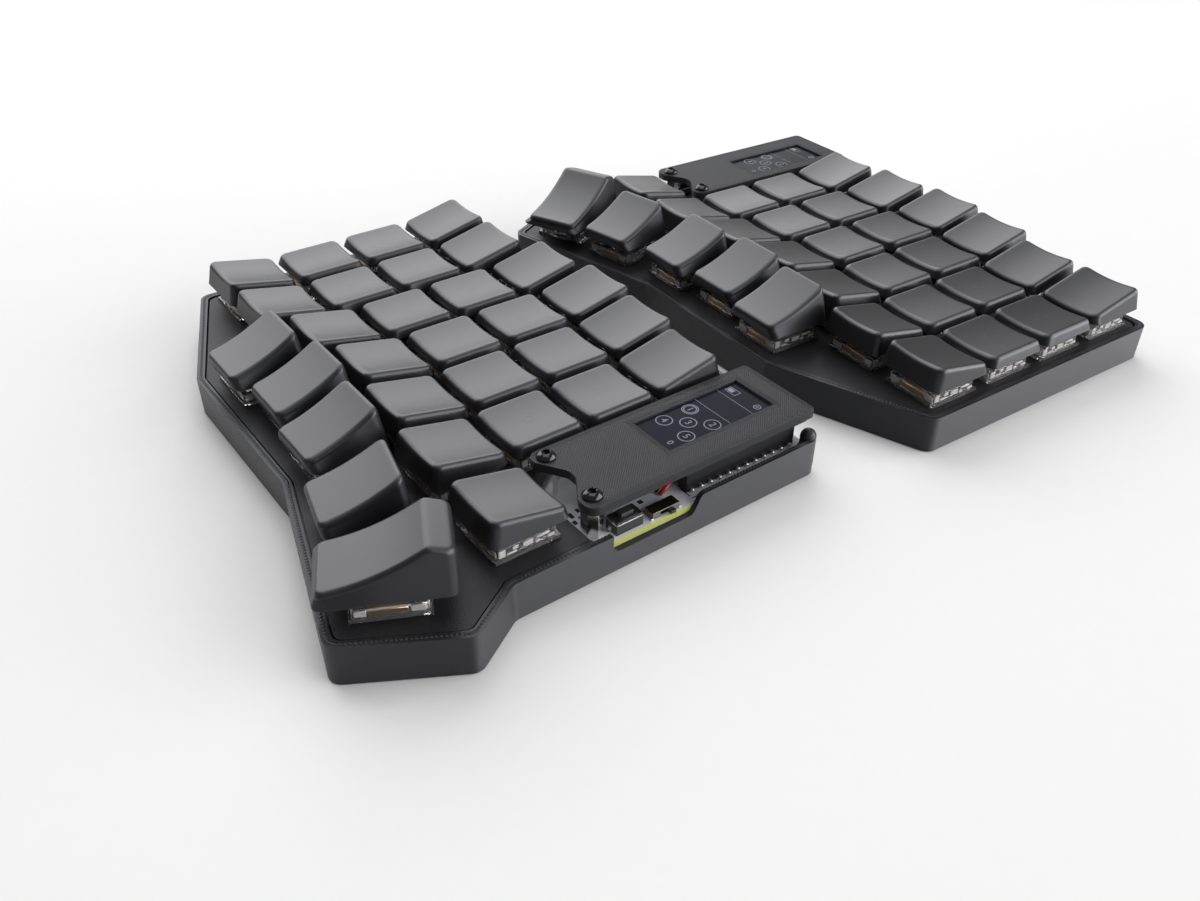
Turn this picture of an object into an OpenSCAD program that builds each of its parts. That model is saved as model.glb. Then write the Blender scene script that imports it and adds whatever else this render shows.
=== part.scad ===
// Ergonomic split keyboard: two mirrored halves with staggered key columns,
// sculpted caps on low switches, and a display over the controller bay.
// Each half is drawn in its own frame, with the outer number key at the origin.

/* [Keys] */
// Distance between key centres
pitch = 19.05; // [18.8:0.05:19.6]
// Side of a cap at its foot
cap_foot = 17.8; // [17.4:0.1:18]
// Side of a level cap at its top edge
cap_top = 15.3; // [14.8:0.1:15.8]
// Height of a level cap's top over the plate
cap_height = 7.7; // [7.5:0.1:9]
// Height of the number and bottom row caps at their middle over the plate
row_height = 9.1; // [8.8:0.1:10]
// Height of the thumb caps at their middle over the plate
thumb_height = 11.1; // [10.4:0.1:12]
// Tilt of the number row caps, the bottom row leans the other way
row_tilt = 12; // [8:1:13]
// Tilt of the thumb caps towards the user
thumb_tilt = 22; // [16:1:24]
// Depth of the scoop across a cap
scoop = 0.7; // [0.3:0.1:0.8]
// Travel of a key
key_travel = 3; // [2.4:0.1:3]

/* [Layout] */
// Forward shift of the ring finger column
ring_shift = 5; // [3:0.5:6]
// Forward shift of the middle finger column
middle_shift = 7.5; // [6:0.5:9]
// Forward shift of the index finger column
index_shift = 5.5; // [4:0.5:7]
// Forward shift of the inner column
inner_shift = 3; // [1:0.5:4]
// Turn of the first turned thumb key, the second turns twice as far
thumb_turn = 13; // [11:1:14]
// Sideways place of the right half
right_x = 132.3; // [124:0.1:140]
// Forward place of the right half
right_y = 111.4; // [110:0.2:130]
// Turn of the right half
right_turn = -2.7; // [-4:0.1:0]

/* [Case] */
// Height of the rim over the table
rim_z = 9.2; // [9.2:0.1:10.4]
// Width of the rim round the plate
rim_w = 1.8; // [1.4:0.1:2.2]
// Groove between the rim and the plate
groove = 0.4; // [0.2:0.1:0.6]
// Thickness of the case floor over the feet
floor_t = 2; // [1.6:0.1:2]
// Radius of the upright corners
corner_r = 3; // [2:0.5:4]
// Thickness of the rubber feet
foot_t = 1; // [0.8:0.1:1.2]
// Diameter of the rubber feet
foot_d = 10; // [8:0.5:11]

/* [Display and controller] */
// Length of the display window
window_l = 29; // [27:0.5:30]
// Width of the display window
window_w = 12; // [10:0.5:12.5]
// Thickness of the display cover
cover_t = 2; // [1.8:0.1:2.6]
// Height of the standoffs under the display cover
standoff_h = 7.3; // [6.7:0.1:8]
// Number of pins in a header strip
header_pins = 12; // [11:1:12]
// Travel of the power slider
slider_travel = 2; // [1.5:0.1:2]

/* [Hidden] */
// How far a cut reaches past the face that it opens
over = 1;

// Heights over the table
plate_drop = 0.3;
plate_t = 1.5;
plate_z = rim_z - plate_drop;
board_drop = 2.2;
board_t = 1.6;
board_z = plate_z - board_drop;
foot_out = 0.2;
foot_gap = 0.1;
floor_z = foot_t + floor_t;
cover_z = board_z + standoff_h;
ledge_w = 1.4;

// Switch sizes
cutout = 14;
body_side = 13.8;
lip_side = 14.8;
lip_t = 0.8;
hood_side = 13.2;
hood_h = 2.6;
hood_z = plate_z + hood_h;
shell_t = 0.7;
base_t = 0.6;
well_z = board_z + base_t;
stem_w = 10.2;
stem_d = 5.4;
stem_gap = 0.3;
stem_rise = 5.8;
stem_top = plate_z + stem_rise;
stem_end_gap = 0.2;
stem_low = well_z + key_travel + stem_end_gap;
spring_r = 2.1;
spring_bore = 1.6;
stem_bore = spring_r + stem_gap;
stem_roof = 0.6;
bore_top = stem_top - stem_roof;
spring_gap = 0.1;
spring_top = bore_top - key_travel - spring_gap;
leaf_w = 4;
leaf_t = 0.3;
leaf_y = -5.6;
leaf_h = 3;

// Cap sizes
press_gap = 2.1;
cap_low = plate_z + key_travel + press_gap;
cap_wall = 1.1;
cap_round = 1.8;
stem_seat = 0.05;
ceiling_z = stem_top + stem_seat;
ceiling_side = 13.9;
shoulder = 0.5;
shoulder_h = 1;
long_thumb = 0.4 * pitch;
thumb_slim = 0.75;
thumb_reach = 0.2;
thumb_lean = -1;
thumb_scoop = 0.9;
long_lean = -0.1;
long_step = -0.4;
long_reach = 0.44;
long_rise = 1.3;
long_scoop = 1.5;
long_low = 1.85;
crest_y = 7.85;
crest_drop = 0.4;
crest_fall = 17;
row_lean = -0.6;

// Key places in a half: x, y, turn and row kind
column_shift = [0, 0, ring_shift, middle_shift, index_shift, inner_shift];
column_names = ["outer", "pinky", "ring", "middle", "index", "inner"];
row_names = ["number", "top", "home", "bottom"];
columns = len(column_names);
rows = len(row_names);
function grid(c, r) = [c * pitch, column_shift[c] - r * pitch];
function heading(a) = [cos(a), sin(a)];
turned_gap = 3.4;
last_gap = 1.4;
side_gap = 2.1;
thumb_3 = grid(4, 4);
thumb_4 = thumb_3 + (pitch + turned_gap) * heading(-thumb_turn);
thumb_5 = thumb_4 + (pitch + last_gap) * heading(-thumb_turn);
side_key = grid(5, 3) + [pitch + side_gap, 0];
grid_keys = [for (c = [0:columns - 1], r = [0:rows - 1]) [grid(c, r), 0, row_names[r]]];
thumb_keys = [
    [grid(2, 4), 0, "thumb"],
    [grid(3, 4), 0, "thumb"],
    [thumb_3, 0, "thumb"],
    [thumb_4, -thumb_turn, "thumb"],
    [thumb_5, -2 * thumb_turn, "long thumb"],
    [side_key, 0, "bottom"]
];
keys = concat(grid_keys, thumb_keys);

// Controller bay of a half, from the cap edge of the inner column to the case wall
bay_gap = 1;
bay_left = grid(5, 0).x + pitch / 2 + bay_gap;
bay_half = 10.6;
bay_x = bay_left + bay_half;
bay_near_gap = 1.8;
bay_near = side_key.y + pitch / 2 + bay_near_gap;
bay_reach = 14.9;
bay_far = inner_shift + bay_reach;
bay_wall = 1.2;
inner_margin = 4.1;
inner_x = side_key.x + pitch / 2 + inner_margin;
board_gap = 0.1;
board_x = inner_x - bay_wall - board_gap;
notch_in = 4;
notch_l = 20.2;
notch_near = bay_near + notch_in;
notch_far = notch_near + notch_l;
notch_z = board_z - board_t - board_gap;
notch_rise = 2.2;
notch_r = 1.6;
port_w = 18;
post_d = 3.6;
post_rise = 1.9;
post_in = 2.1;
post_gap = 0.3;

// Display cover, its screws and what stands on the board
screw_gap = 7.8;
screw_xs = [bay_x - screw_gap, bay_x + screw_gap];
tab_r = 3;
screw_y = bay_near + tab_r;
screw_d = 1.9;
screw_hole = 2.2;
head_d = 4.2;
head_h = 1.4;
key_d = 1.9;
screw_grip = 2.6;
screw_l = cover_t + screw_grip;
board_head = 1.1;
standoff_d = 5.2;
standoff_turn = 30;
cover_lap = 0.1;
cover_w = 22.4;
cover_left = bay_left - cover_lap;
cover_right = cover_left + cover_w;
cover_r = 2.5;
cover_far_r = 1.3;
window_in = 1;
window_back = 21.7;
window_x = bay_x - window_in;
window_y = bay_far - window_back;
pin_pitch = 2.54;
row_gap = 7.62;
strip_w = 2.5;
strip_h = 4.4;
strip_l = header_pins * pin_pitch;
strip_back = 19.1;
strip_y = bay_far - strip_back;
control_w = 18;
control_l = 34.5;
control_t = 1;
shield_side = 11;
shield_h = 0.9;
control_z = board_z + strip_h;
control_gap = 0.4;
control_y = bay_far - control_gap - control_l / 2;
panel_lap = 1.2;
panel_w = window_w + 2 * panel_lap;
panel_l = window_l + 2 * panel_lap;
panel_cover = 0.6;
panel_t = cover_t - panel_cover;
panel_gap = 0.1;
link_w = 10;
link_l = 2.5;
socket_w = 9;
socket_l = 7.4;
socket_h = 3.2;
socket_wall = 0.6;
socket_r = 1.2;
socket_out = 0.3;
battery_w = 10;
battery_l = 24;
battery_gap = 0.6;
battery_back = 11.5;
battery_h = strip_h - battery_gap;
battery_far = bay_far - battery_back;
lead_d = 1;
lead_in = 1;
lead_gap = 1.5;
lead_sides = 8;
// Route of a lead from the battery's near face, as x, y and height over the board
lead_route = [[0, -0.1, 2.2], [0.2, -1.2, 2.3], [1.6, -3, 2.1], [2.8, -4.4, 1.3], [3, -4.8, 0]];

// Reset button and power switch at the edge of the board
reset_l = 6.6;
reset_w = 3.6;
reset_h = 3.2;
reset_in = 2.6;
reset_step = 5.6;
reset_x = board_x - reset_in;
reset_y = notch_near + reset_step;
button_l = 3;
button_w = 1.8;
button_up = 0.9;
button_deep = 0.8;
button_travel = 0.3;
button_gap = 0.2;
button_end_gap = 0.1;
power_l = 7;
power_w = 2.8;
power_h = 1.6;
power_in = 1.9;
power_step = 9;
power_x = board_x - power_in;
power_y = reset_y + power_step;
slider_l = 1.4;
slider_h = 0.8;
slider_out = 1.1;
slider_in = 1;
slider_gap = 0.2;
slot_l = slider_travel + slider_l + 2 * slider_gap;

// Outline of a half, run against the clock from the outer far corner
thumb_edge = 2 * thumb_turn;
function turned(p, a) = [p.x * cos(a) - p.y * sin(a), p.x * sin(a) + p.y * cos(a)];
side_margin = 1.6;
far_margin = 2.4;
near_margin = 2.5;
heel_in = 1;
ring_near_out = 0.2;
thumb_flat = 1;
thumb_near = [12.8, -11.6];
thumb_far = [14.5, 14.6];
side_drop = 7.4;
middle_out = 1;
ring_out = 0.6;
pinky_out = 5;
side_edge = pitch / 2 + side_margin;
far_edge = pitch / 2 + far_margin;
near_y = grid(2, 4).y - pitch / 2 - near_margin;
outline = [
    [-side_edge, far_edge],
    [-side_edge, -3.5 * pitch - heel_in],
    [grid(2, 4).x - pitch / 2 - ring_near_out, near_y],
    [thumb_3.x + thumb_flat, near_y],
    thumb_5 + turned(thumb_near, -thumb_edge),
    thumb_5 + turned(thumb_far, -thumb_edge),
    [inner_x, side_key.y - side_drop],
    [inner_x, bay_far],
    [bay_left, bay_far],
    [grid(3, 0).x + pitch / 2 + middle_out, middle_shift + far_edge],
    [grid(3, 0).x - pitch / 2 - middle_out, middle_shift + far_edge],
    [grid(2, 0).x - pitch / 2 - ring_out, ring_shift + far_edge],
    [grid(1, 0).x + pinky_out, far_edge]
];

// Polygon helpers: the unit vector, an inset outline and round corners
arc_steps = 6;
function unit(v) = v / norm(v);
function side_on(v) = [-v.y, v.x];
function inset(pts, d) = [
    for (i = [0:len(pts) - 1])
        let (
            a = pts[(i + len(pts) - 1) % len(pts)],
            b = pts[i],
            c = pts[(i + 1) % len(pts)],
            n = side_on(unit(b - a)),
            m = side_on(unit(c - b))
        )
        b + d * (n + m) / (1 + n * m)
];
function rounded(pts, r) = [
    for (i = [0:len(pts) - 1])
        let (
            b = pts[i],
            u = unit(pts[(i + len(pts) - 1) % len(pts)] - b),
            v = unit(pts[(i + 1) % len(pts)] - b),
            half = acos(u * v) / 2,
            mid = b + unit(u + v) * r / sin(half),
            start = b + u * r / tan(half) - mid,
            stop = b + v * r / tan(half) - mid,
            from = atan2(start.y, start.x),
            sweep = (atan2(stop.y, stop.x) - from + 540) % 360 - 180
        )
        for (k = [0:arc_steps]) mid + r * heading(from + sweep * k / arc_steps)
];

// The whole part stands with its middle over the origin
rim_points = rounded(outline, corner_r);
right_points = [for (p = rim_points) [right_x, right_y] + turned([-p.x, p.y], right_turn)];
all_points = concat(rim_points, right_points);
xs = [for (p = all_points) p.x];
ys = [for (p = all_points) p.y];
middle = [(min(xs) + max(xs)) / 2, (min(ys) + max(ys)) / 2, 0];

// Feet of a half, under its corners
thumb_foot_in = 4;
bay_foot_in = 8;
feet = [
    [0, 0],
    [0, -3 * pitch],
    [grid(3, 0).x, middle_shift],
    [thumb_3.x - pitch, thumb_3.y + thumb_foot_in],
    thumb_5,
    [bay_x, bay_far - bay_foot_in]
];

// Node names
left_grid_names = [
    for (c = [0:columns - 1], r = [0:rows - 1])
        str("left_", column_names[c], "_", row_names[r], "_key")
];
left_thumb_names = [for (t = [1:len(thumb_keys) - 1]) str("left_thumb_key_", t)];
left_key_names = concat(left_grid_names, left_thumb_names, ["left_side_key"]);
right_row_names = [for (r = row_names) str("right_", r, "_row_keys")];
fixed_names = [
    "case_left", "case_right", "switch_plate_left", "switch_plate_right",
    "circuit_board_left", "circuit_board_right", "display_cover_left", "display_cover_right",
    "display_panels", "controller_boards", "charging_sockets", "header_strips",
    "screws", "standoffs", "switch_housings", "switch_springs", "switch_contacts",
    "batteries", "reset_switch_bodies", "power_switch_bodies", "rubber_feet"
];
moving_names = ["power_slider_left", "power_slider_right", "reset_button_left", "reset_button_right"];

// Places of the halves and of a key in its half
module on_left() {
    translate(-middle) children();
}

module on_right() {
    translate(-middle) translate([right_x, right_y, 0]) rotate(right_turn) mirror([1, 0, 0]) children();
}

module on_both() {
    on_left() children();
    on_right() children();
}

module at_key(key) {
    translate(key[0]) rotate(key[1]) children();
}

// A block centred on x and y, standing on z
module block(size, at = [0, 0, 0]) {
    translate(at + [-size.x / 2, -size.y / 2, 0]) cube(size);
}

// Key cap: a lofted shell with a scooped, tilted top, hollow over its switch
function cap_ring(hx, hy, r) = [
    for (q = [0:3])
        let (
            sx = (q == 0 || q == 3) ? 1 : -1,
            sy = q < 2 ? 1 : -1,
            side = q % 2 == 0 ? [sx * hx, 0] : [0, sy * hy]
        )
        for (k = [-1:2]) k < 0 ? side : [sx * (hx - r), sy * (hy - r)] + r * heading(90 * q + 45 * k)
];
function is_thumb(kind) = kind == "thumb" || kind == "long thumb";
function cap_tilt(kind) = is_thumb(kind) ? thumb_tilt
    : kind == "number" ? row_tilt
    : kind == "bottom" ? -row_tilt : 0;
function cap_lean(kind) = kind == "thumb" ? thumb_lean
    : kind == "long thumb" ? long_lean
    : kind == "number" ? row_lean
    : kind == "bottom" ? -row_lean : 0;
function cap_mid(kind) = kind == "thumb" ? thumb_height
    : kind == "long thumb" ? thumb_height + long_rise
    : (kind == "number" || kind == "bottom") ? row_height : cap_height;
function cap_step(kind) = kind == "long thumb" ? long_step : 0;
function cap_long(kind) = kind == "long thumb" ? [0, long_thumb / 2] : [0, 0];
function cap_half(kind) = cap_long(kind) + [cap_top, cap_top] / 2
    + (kind == "thumb" ? [-thumb_slim, thumb_reach]
    : kind == "long thumb" ? [-thumb_slim, long_reach] : [0, 0]);
function bowl(share) = 1 - pow(min(1, abs(share)), 2);
function dip(kind, p, half) = kind == "thumb" ? thumb_scoop * bowl(p.y / half.y)
    : kind == "long thumb" ? long_scoop * bowl((p.y + long_low) / (half.y - long_low))
    : scoop * bowl(p.x / half.x);

module cap_body(kind) {
    half = cap_half(kind);
    lean = cap_lean(kind);
    function crown(p) = plate_z + cap_mid(kind) + tan(cap_tilt(kind)) * p.y - dip(kind, p, half);
    function lay(ring, drop) = [for (p = ring) [p.x, p.y + lean, crown(p) - drop]];
    function flat(ring, z) = [for (p = ring) [p.x, p.y + cap_step(kind), z]];
    foot = cap_long(kind) + [cap_foot, cap_foot] / 2;
    inner = foot - [cap_wall, cap_wall];
    ceiling = cap_long(kind) + [ceiling_side, ceiling_side] / 2;
    layers = [
        flat(cap_ring(ceiling.x, ceiling.y, cap_round - cap_wall), ceiling_z),
        flat(cap_ring(inner.x, inner.y, cap_round - cap_wall), cap_low),
        flat(cap_ring(foot.x, foot.y, cap_round), cap_low),
        lay(cap_ring(half.x + shoulder, half.y + shoulder, cap_round), shoulder_h),
        lay(cap_ring(half.x, half.y, cap_round), 0),
        lay(cap_ring(half.x / 2, half.y / 2, cap_round / 2), 0)
    ];
    n = len(layers[0]);
    last = len(layers) - 1;
    bands = [
        for (l = [0:last - 1], i = [0:n - 1])
            let (a = l * n + i, b = l * n + (i + 1) % n)
            each [[a, a + n, b], [b, a + n, b + n]]
    ];
    lid = [for (i = [0:n - 1]) [last * n + i, last * n + n, last * n + (i + 1) % n]];
    roof = [[for (i = [0:n - 1]) i]];
    crown_mid = [0, lean, crown([0, 0])];
    polyhedron([for (l = layers) each l, crown_mid], concat(bands, lid, roof), convexity = 4);
}

// Cap: the last thumb cap has a crest, and falls gently behind it
module cap(kind) {
    crest = [0, long_lean + crest_y, plate_z + cap_mid(kind) + tan(thumb_tilt) * crest_y - crest_drop];
    difference() {
        cap_body(kind);
        if (kind == "long thumb")
            translate(crest)
                rotate([-crest_fall, 0, 0])
                    translate([-pitch, -crest_y, 0])
                        cube([2 * pitch, 2 * pitch, pitch / 2]);
    }
}

// Stem: the slider under a cap, bored from below for the spring
module stem() {
    difference() {
        block([stem_w, stem_d, stem_top - stem_low], [0, 0, stem_low]);
        translate([0, 0, stem_low - over])
            cylinder(r = stem_bore, h = bore_top - stem_low + over, $fn = 8);
    }
}

module key(at) {
    color("#2b2c2f") at_key(at) cap(at[2]);
    color("#d9d4c8") at_key(at) stem();
}

module left_key(i) {
    on_left() key(keys[i]);
}

module right_row_keys(kind) {
    on_right() for (k = grid_keys) if (k[2] == kind) key(k);
}

module right_thumb_keys() {
    on_right() for (k = thumb_keys) key(k);
}

// Switch housings: clear boxes that snap into the plate and stand on the board
module switch_housings() {
    color("#d8dde0", 0.5) on_both() for (k = keys) at_key(k) difference() {
        union() {
            block([body_side, body_side, plate_z - board_z], [0, 0, board_z]);
            block([lip_side, lip_side, lip_t], [0, 0, plate_z]);
            block([hood_side, hood_side, hood_z - plate_z], [0, 0, plate_z]);
        }
        block(
            [hood_side - 2 * shell_t, hood_side - 2 * shell_t, hood_z - shell_t - well_z],
            [0, 0, well_z]
        );
        block(
            [stem_w + 2 * stem_gap, stem_d + 2 * stem_gap, hood_z],
            [0, 0, well_z]
        );
    }
}

// Springs, drawn as plain sleeves at their pressed length
module switch_springs() {
    color("#b8bcc0") on_both() for (k = keys) at_key(k) translate([0, 0, well_z]) difference() {
        cylinder(r = spring_r, h = spring_top - well_z, $fn = 8);
        translate([0, 0, -over]) cylinder(r = spring_bore, h = spring_top - well_z + 2 * over, $fn = 8);
    }
}

// Contact leaves beside the stems
module switch_contacts() {
    color("#c08a4a") on_both() for (k = keys) at_key(k)
        block([leaf_w, leaf_t, leaf_h], [0, leaf_y, well_z]);
}

// A flat slab with the outline of the given points
module slab(pts, low, high) {
    translate([0, 0, low]) linear_extrude(high - low) polygon(pts);
}

// Case tray: floor with a recess for each foot, walls with a ledge for the plate,
// notch, port opening and post
notch_profile = [
    [notch_near, rim_z + notch_r],
    [notch_near, notch_z],
    [notch_far, notch_z],
    [notch_far + notch_rise, rim_z],
    [bay_far - 2 * post_d, rim_z],
    [bay_far - 2 * post_d, rim_z + notch_r]
];
post_at = [inner_x - post_in, bay_far - post_in];

module post(d, low, high) {
    translate([post_at.x, post_at.y, low]) cylinder(d = d, h = high - low, $fn = 32);
}

module case_half() {
    open_z = rim_z + over;
    bay_size = [inner_x - bay_wall - bay_left, bay_far - bay_wall - bay_near];
    difference() {
        slab(rim_points, foot_out, rim_z);
        for (p = feet) translate(p) cylinder(d = foot_d + 2 * foot_gap, h = foot_t, $fn = 48);
        slab(rounded(inset(outline, rim_w), corner_r - rim_w / 2), plate_z - plate_t, open_z);
        slab(rounded(inset(outline, rim_w + ledge_w), corner_r / 2), floor_z, open_z);
        translate([bay_left, bay_near, floor_z]) cube([bay_size.x, bay_size.y, open_z]);
        translate([inner_x - bay_wall - over, 0, 0]) rotate([90, 0, 90])
            linear_extrude(bay_wall + 2 * over) polygon(rounded(notch_profile, notch_r));
        block([port_w, 4 * bay_wall, open_z], [bay_x, bay_far, notch_z]);
    }
    post(post_d, foot_t + floor_t / 2, rim_z + post_rise - post_d / 2);
    translate([post_at.x, post_at.y, rim_z + post_rise - post_d / 2]) sphere(d = post_d, $fn = 32);
}

module case_left() {
    color("#1c1d1f") on_left() case_half();
}

module case_right() {
    color("#1c1d1f") on_right() case_half();
}

// Switch plate: drops onto the ledge inside the rim, open over the controller bay
module plate_half() {
    difference() {
        slab(rounded(inset(outline, rim_w + groove), corner_r - rim_w / 2), plate_z - plate_t, plate_z);
        translate([bay_left, bay_near, 0]) cube([2 * pitch, 4 * pitch, rim_z]);
        for (k = keys) at_key(k) block([cutout, cutout, rim_z]);
    }
}

module switch_plate_left() {
    color("#202123") on_left() plate_half();
}

module switch_plate_right() {
    color("#202123") on_right() plate_half();
}

// Circuit board: under the plate, and out to the case wall in the bay
module board_half() {
    low = board_z - board_t;
    difference() {
        union() {
            slab(rounded(inset(outline, rim_w + ledge_w + groove), corner_r / 2), low, board_z);
            translate([bay_left, bay_near + groove, low])
                cube([board_x - bay_left, bay_far - bay_wall - 2 * groove - bay_near, board_t]);
        }
        post(post_d + 2 * post_gap, 0, rim_z);
        translate([post_at.x, post_at.y, 0]) cube(post_d);
        for (x = screw_xs) translate([x, screw_y, 0]) cylinder(d = screw_hole, h = rim_z, $fn = 32);
    }
}

module circuit_board_left() {
    color("#e6e6ea") on_left() board_half();
}

module circuit_board_right() {
    color("#e6e6ea") on_right() board_half();
}

// Display cover: a flat lid with a window, carried by two standoffs at its near end
cover_near = screw_y - tab_r;
cover_back = 0.9;
tab_end = 0.4;
recess_half = 1.3;
recess_in = 0.9;
cover_far = bay_far - cover_back;
cover_outline = [
    [cover_left, cover_far],
    [cover_left, cover_near],
    [screw_xs[0] + tab_end, cover_near],
    [bay_x - recess_half, screw_y + recess_in],
    [bay_x + recess_half, screw_y + recess_in],
    [screw_xs[1] - tab_end, cover_near],
    [cover_right, cover_near],
    [cover_right, cover_far]
];
cover_far_end = [
    [cover_left, cover_far],
    [cover_left, window_y],
    [cover_right, window_y],
    [cover_right, cover_far]
];

module cover_half() {
    pocket = [panel_w + 2 * panel_gap, panel_l + 2 * panel_gap, panel_t];
    difference() {
        union() {
            slab(rounded(cover_outline, cover_r), cover_z, cover_z + cover_t);
            slab(rounded(cover_far_end, cover_far_r), cover_z, cover_z + cover_t);
        }
        block([window_w, window_l, 2 * cover_z], [window_x, window_y, 0]);
        block(pocket, [window_x, window_y, cover_z]);
        for (x = screw_xs) translate([x, screw_y, 0]) cylinder(d = screw_hole, h = 2 * cover_z, $fn = 32);
    }
}

module display_cover_left() {
    color("#2e2f31") on_left() cover_half();
}

module display_cover_right() {
    color("#2e2f31") on_right() cover_half();
}

// Display panels: glass in the pocket of the cover, linked to the controller below
module display_panels() {
    link_z = control_z + control_t;
    color("#1d2230") on_both() {
        block([panel_w, panel_l, panel_t], [window_x, window_y, cover_z]);
        block([link_w, link_l, cover_z - link_z], [window_x, window_y + panel_l / 2 - link_l, link_z]);
    }
}

// Controller boards: plugged into the header strips, with a shielded radio chip
module controller_boards() {
    shield_at = [bay_x, control_y - shield_side / 2, control_z + control_t];
    color("#20242c") on_both() {
        block([control_w, control_l, control_t], [bay_x, control_y, control_z]);
        block([shield_side, shield_side, shield_h], shield_at);
    }
}

// Charging sockets: under the far end of the controller boards
socket_outline = [
    [-socket_w / 2, -socket_h],
    [socket_w / 2, -socket_h],
    [socket_w / 2, 0],
    [-socket_w / 2, 0]
];

module charging_sockets() {
    at = [bay_x, bay_far + socket_out, control_z];
    color("#c4c6c8") on_both() translate(at) rotate([90, 0, 0]) difference() {
        linear_extrude(socket_l) polygon(rounded(socket_outline, socket_r));
        translate([0, 0, -over]) linear_extrude(socket_l)
            polygon(rounded(inset(socket_outline, socket_wall), socket_r - socket_wall / 2));
    }
}

// Header strips: two rows that lift the controller over the board
module header_strips() {
    color("#161617") on_both() for (side = [-1, 1])
        block([strip_w, strip_l, strip_h], [bay_x + side * row_gap, strip_y, board_z]);
}

// Screws: button heads on the cover, and flat heads under the board
module button_screw() {
    difference() {
        union() {
            cylinder(d = head_d, h = head_h / 2, $fn = 32);
            translate([0, 0, head_h / 2]) cylinder(d1 = head_d, d2 = head_d / 2, h = head_h / 2, $fn = 32);
            translate([0, 0, -screw_l]) cylinder(d = screw_d, h = screw_l, $fn = 32);
        }
        translate([0, 0, head_h / 2]) cylinder(d = key_d, h = head_h, $fn = 6);
    }
}

module board_screw() {
    translate([0, 0, -board_head]) cylinder(d = head_d, h = board_head, $fn = 32);
    cylinder(d = screw_d, h = board_t + screw_grip, $fn = 32);
}

module screws() {
    color("#18191a") on_both() for (x = screw_xs) translate([x, screw_y, 0]) {
        translate([0, 0, cover_z + cover_t]) button_screw();
        translate([0, 0, board_z - board_t]) board_screw();
    }
}

// Standoffs: threaded metal pillars between the board and the cover
module standoffs() {
    color("#c9c6bd") on_both() for (x = screw_xs) translate([x, screw_y, board_z]) difference() {
        rotate(standoff_turn) cylinder(d = standoff_d, h = standoff_h, $fn = 6);
        translate([0, 0, -over]) cylinder(d = screw_hole, h = standoff_h + 2 * over, $fn = 32);
    }
}

// Batteries: flat cells between the header strips, with their soldered leads
function lead_ring(at, along) =
    let (
        across = unit(cross(along, [1, 0, 0])),
        up = cross(across, unit(along))
    )
    [for (k = [0:lead_sides - 1]) at + lead_d / 2 * heading(360 * k / lead_sides) * [across, up]];

module wire(route) {
    last = len(route) - 1;
    n = lead_sides;
    legs = [for (i = [0:last - 1]) unit(route[i + 1] - route[i])];
    along = [[0, -1, 0], for (i = [1:last - 1]) legs[i - 1] + legs[i], [0, 0, -1]];
    bands = [
        for (l = [0:last - 1], i = [0:n - 1])
            let (a = l * n + i, b = l * n + (i + 1) % n)
            each [[a, b, a + n], [b, b + n, a + n]]
    ];
    ends = [[for (i = [0:n - 1]) n - 1 - i], [for (i = [0:n - 1]) last * n + i]];
    polyhedron([for (i = [0:last]) each lead_ring(route[i], along[i])], concat(bands, ends));
}

module batteries() {
    near = battery_far - battery_l;
    color("#9aa0a6") on_both() block(
        [battery_w, battery_l, battery_h],
        [bay_x, battery_far - battery_l / 2, board_z]
    );
    for (side = [0, 1]) {
        start = [bay_x + battery_w / 2 - lead_in - side * lead_gap, near, board_z];
        color(side == 0 ? "#b02822" : "#1a1a1a") on_both() wire([for (p = lead_route) start + p]);
    }
}

// Reset switches: small push buttons at the edge of the board, within the notch
module reset_switch_bodies() {
    deep = button_deep + button_travel + button_end_gap;
    color("#26272a") on_both() translate([reset_x, reset_y, board_z]) difference() {
        block([reset_w, reset_l, reset_h]);
        block([button_w + 2 * button_gap, button_l + 2 * button_gap, deep + over], [0, 0, reset_h - deep]);
    }
}

module reset_button() {
    translate([reset_x, reset_y, board_z + reset_h - button_deep])
        block([button_w, button_l, button_up + button_deep]);
}

module reset_button_left() {
    color("#6c6e70") on_left() reset_button();
}

module reset_button_right() {
    color("#6c6e70") on_right() reset_button();
}

// Power switches: slide switches whose sliders stick out towards the notch
module power_switch_bodies() {
    slot = [slider_in + slider_gap, slot_l, slider_h + 2 * slider_gap];
    color("#232426") on_both() translate([power_x, power_y, board_z]) difference() {
        block([power_w, power_l, power_h]);
        block(slot + [over, 0, 0], [(power_w - slot.x + over) / 2, 0, (power_h - slot.z) / 2]);
    }
}

module power_slider() {
    translate([power_x + power_w / 2 - slider_in, power_y + slider_travel / 2 - slider_l / 2, 0])
        translate([0, 0, board_z + (power_h - slider_h) / 2])
            cube([slider_in + slider_out, slider_l, slider_h]);
}

module power_slider_left() {
    color("#141415") on_left() power_slider();
}

module power_slider_right() {
    color("#141415") on_right() power_slider();
}

// Rubber feet: set in the recesses under the case floor, and standing out a little
module rubber_feet() {
    color("#101011") on_both() for (p = feet) translate(p) cylinder(d = foot_d, h = foot_t, $fn = 48);
}

case_left();
case_right();
switch_plate_left();
switch_plate_right();
circuit_board_left();
circuit_board_right();
display_cover_left();
display_cover_right();
display_panels();
controller_boards();
charging_sockets();
header_strips();
screws();
standoffs();
switch_housings();
switch_springs();
switch_contacts();
batteries();
reset_switch_bodies();
power_switch_bodies();
rubber_feet();
power_slider_left();
power_slider_right();
reset_button_left();
reset_button_right();
for (r = [0:rows - 1]) right_row_keys(row_names[r]);
right_thumb_keys();
for (i = [0:len(keys) - 1]) left_key(i);
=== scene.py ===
import math

import bmesh
import bpy
from mathutils import Matrix, Vector


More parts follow.
